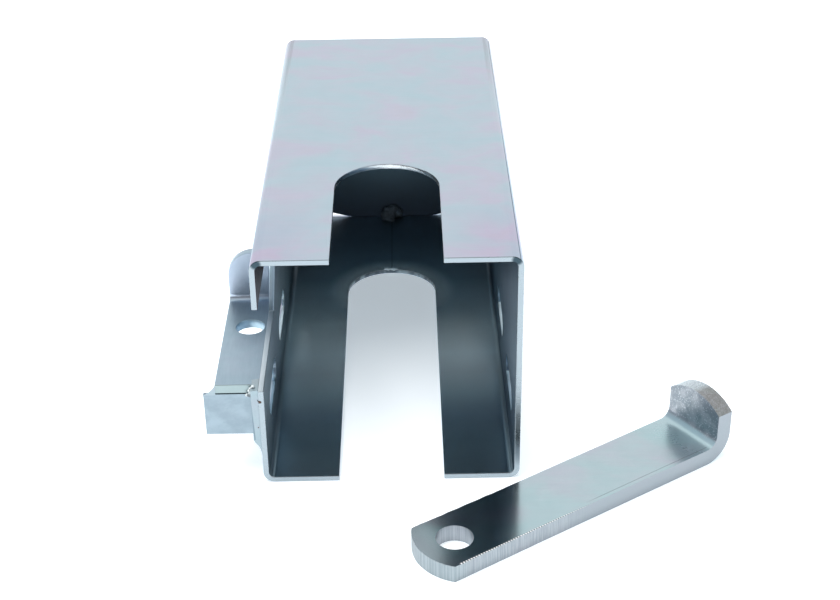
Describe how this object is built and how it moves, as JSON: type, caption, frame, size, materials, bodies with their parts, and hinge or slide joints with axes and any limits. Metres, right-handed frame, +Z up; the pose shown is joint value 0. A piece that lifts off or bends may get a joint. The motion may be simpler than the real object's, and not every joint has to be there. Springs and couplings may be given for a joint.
{
  "type": "trailer coupler lock",
  "caption": "Folded galvanised box that encloses a trailer's coupling head, with U slots, a welded padlock bracket and a loose L-shaped locking bar that crosses it.",
  "frame": {"origin": "middle of the open mouth, on the underside of the box", "axes": "+X to the right seen from the mouth, +Y into the box away from the mouth, +Z up"},
  "size_m": [0.2467, 0.3516, 0.1175],
  "materials": {
    "sheet_zinc": "bright zinc plated sheet with a faint blue and pink sheen",
    "bracket_zinc": "zinc plated flat bar, drawn along its length",
    "weld_zinc": "rough weld under zinc plating",
    "bar_zinc": "zinc plated flat bar with sheared edges"
  },
  "bodies": {
    "box": {"box_shell": "sheet_zinc", "back_plate": "sheet_zinc", "back_weld": "weld_zinc", "back_plate_welds": "weld_zinc", "bracket_strap": "bracket_zinc", "guard_plate": "bracket_zinc", "guard_fillet": "weld_zinc", "wall_weld": "weld_zinc", "strap_weld": "weld_zinc", "lap_weld": "weld_zinc"},
    "bar": {"locking_bar": "bar_zinc"}
  },
  "joints": [
    {"name": "bar_slide", "type": "slide", "parent": "box", "child": "bar", "axis": [-0.83, -0.5577, 0], "range_m": [0, 0.1586]}
  ]
}
